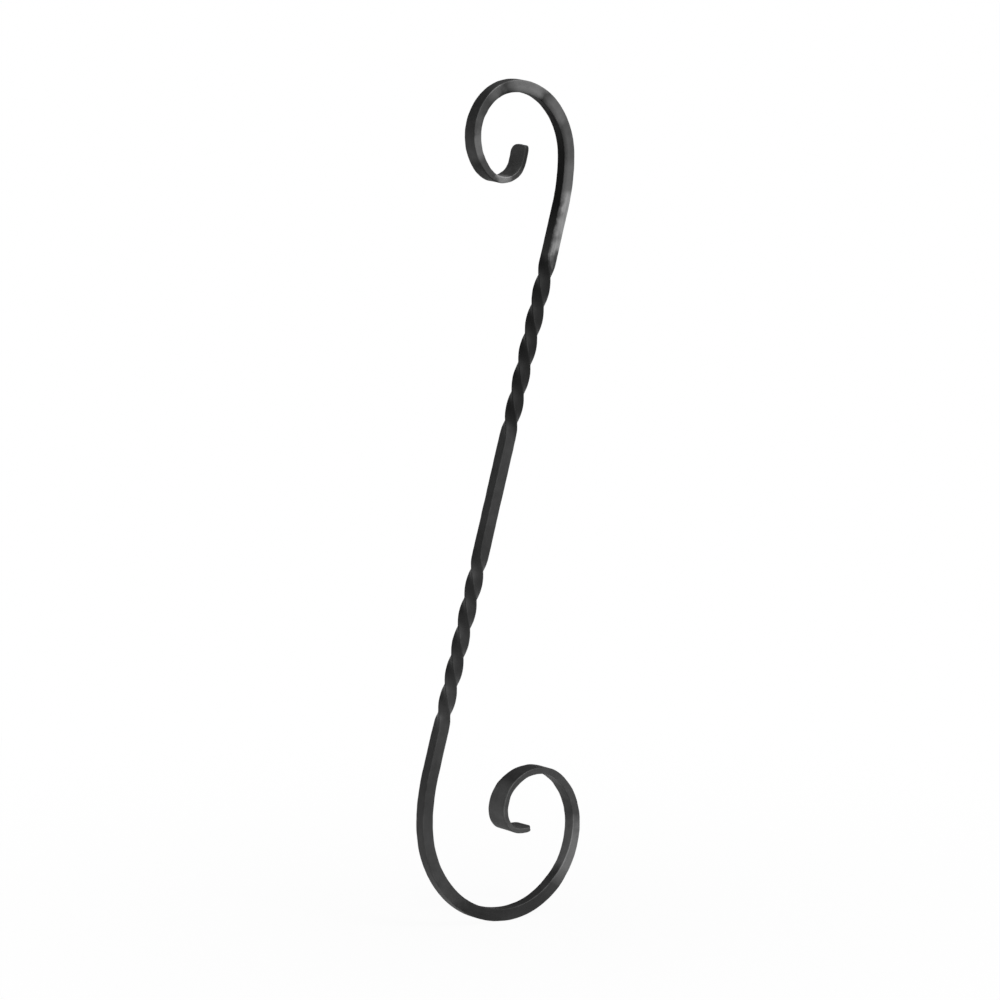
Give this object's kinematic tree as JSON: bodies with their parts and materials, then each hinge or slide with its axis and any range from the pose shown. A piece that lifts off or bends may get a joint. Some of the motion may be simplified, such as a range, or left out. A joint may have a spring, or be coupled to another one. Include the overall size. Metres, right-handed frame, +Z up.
{
  "type": "twisted scroll baluster",
  "caption": "Square forged baluster with a leaning shaft, twisted above and below a plain middle, and a scroll at each end, for a stair or balcony railing.",
  "frame": {"origin": "underside of the lower scroll at its lowest point, where the baluster is welded to the bottom rail", "axes": "+Z up; both scrolls and the leaning shaft lie in the XZ plane; +Y through the thickness of the railing, away from the viewer, and +X towards the side that the shaft leans to"},
  "size_m": [0.1816, 0.0304, 0.7942],
  "materials": {
    "forged_steel": "hammered and blackened, worn bright along its edges"
  },
  "bodies": {
    "root": {"scroll_bar": "forged_steel"}
  },
  "joints": []
}
